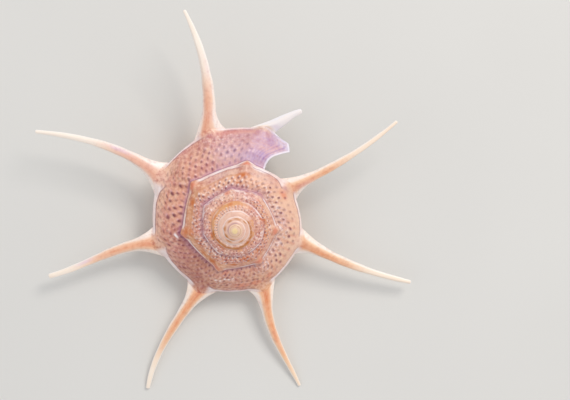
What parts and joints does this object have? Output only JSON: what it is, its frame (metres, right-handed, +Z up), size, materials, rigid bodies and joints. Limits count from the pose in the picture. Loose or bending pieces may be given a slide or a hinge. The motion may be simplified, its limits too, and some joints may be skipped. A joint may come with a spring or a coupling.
{
  "type": "turban shell",
  "caption": "Low-spired star turban sea shell with long curved spines around its keel, beaded whorls and an open aperture, lying spire up on its base.",
  "frame": {"origin": "centre of the bounding box in plan, on the surface the shell lies on", "axes": "+Z up, with the spire leaning a few degrees from it as the shell lies; +X and +Y run right and up in the view from above the spire"},
  "size_m": [0.099, 0.0998, 0.0213],
  "materials": {
    "shell": "semi-gloss pearly shell, salmon pink with cream keel and spines"
  },
  "bodies": {
    "root": {"shell": "shell"}
  },
  "joints": []
}
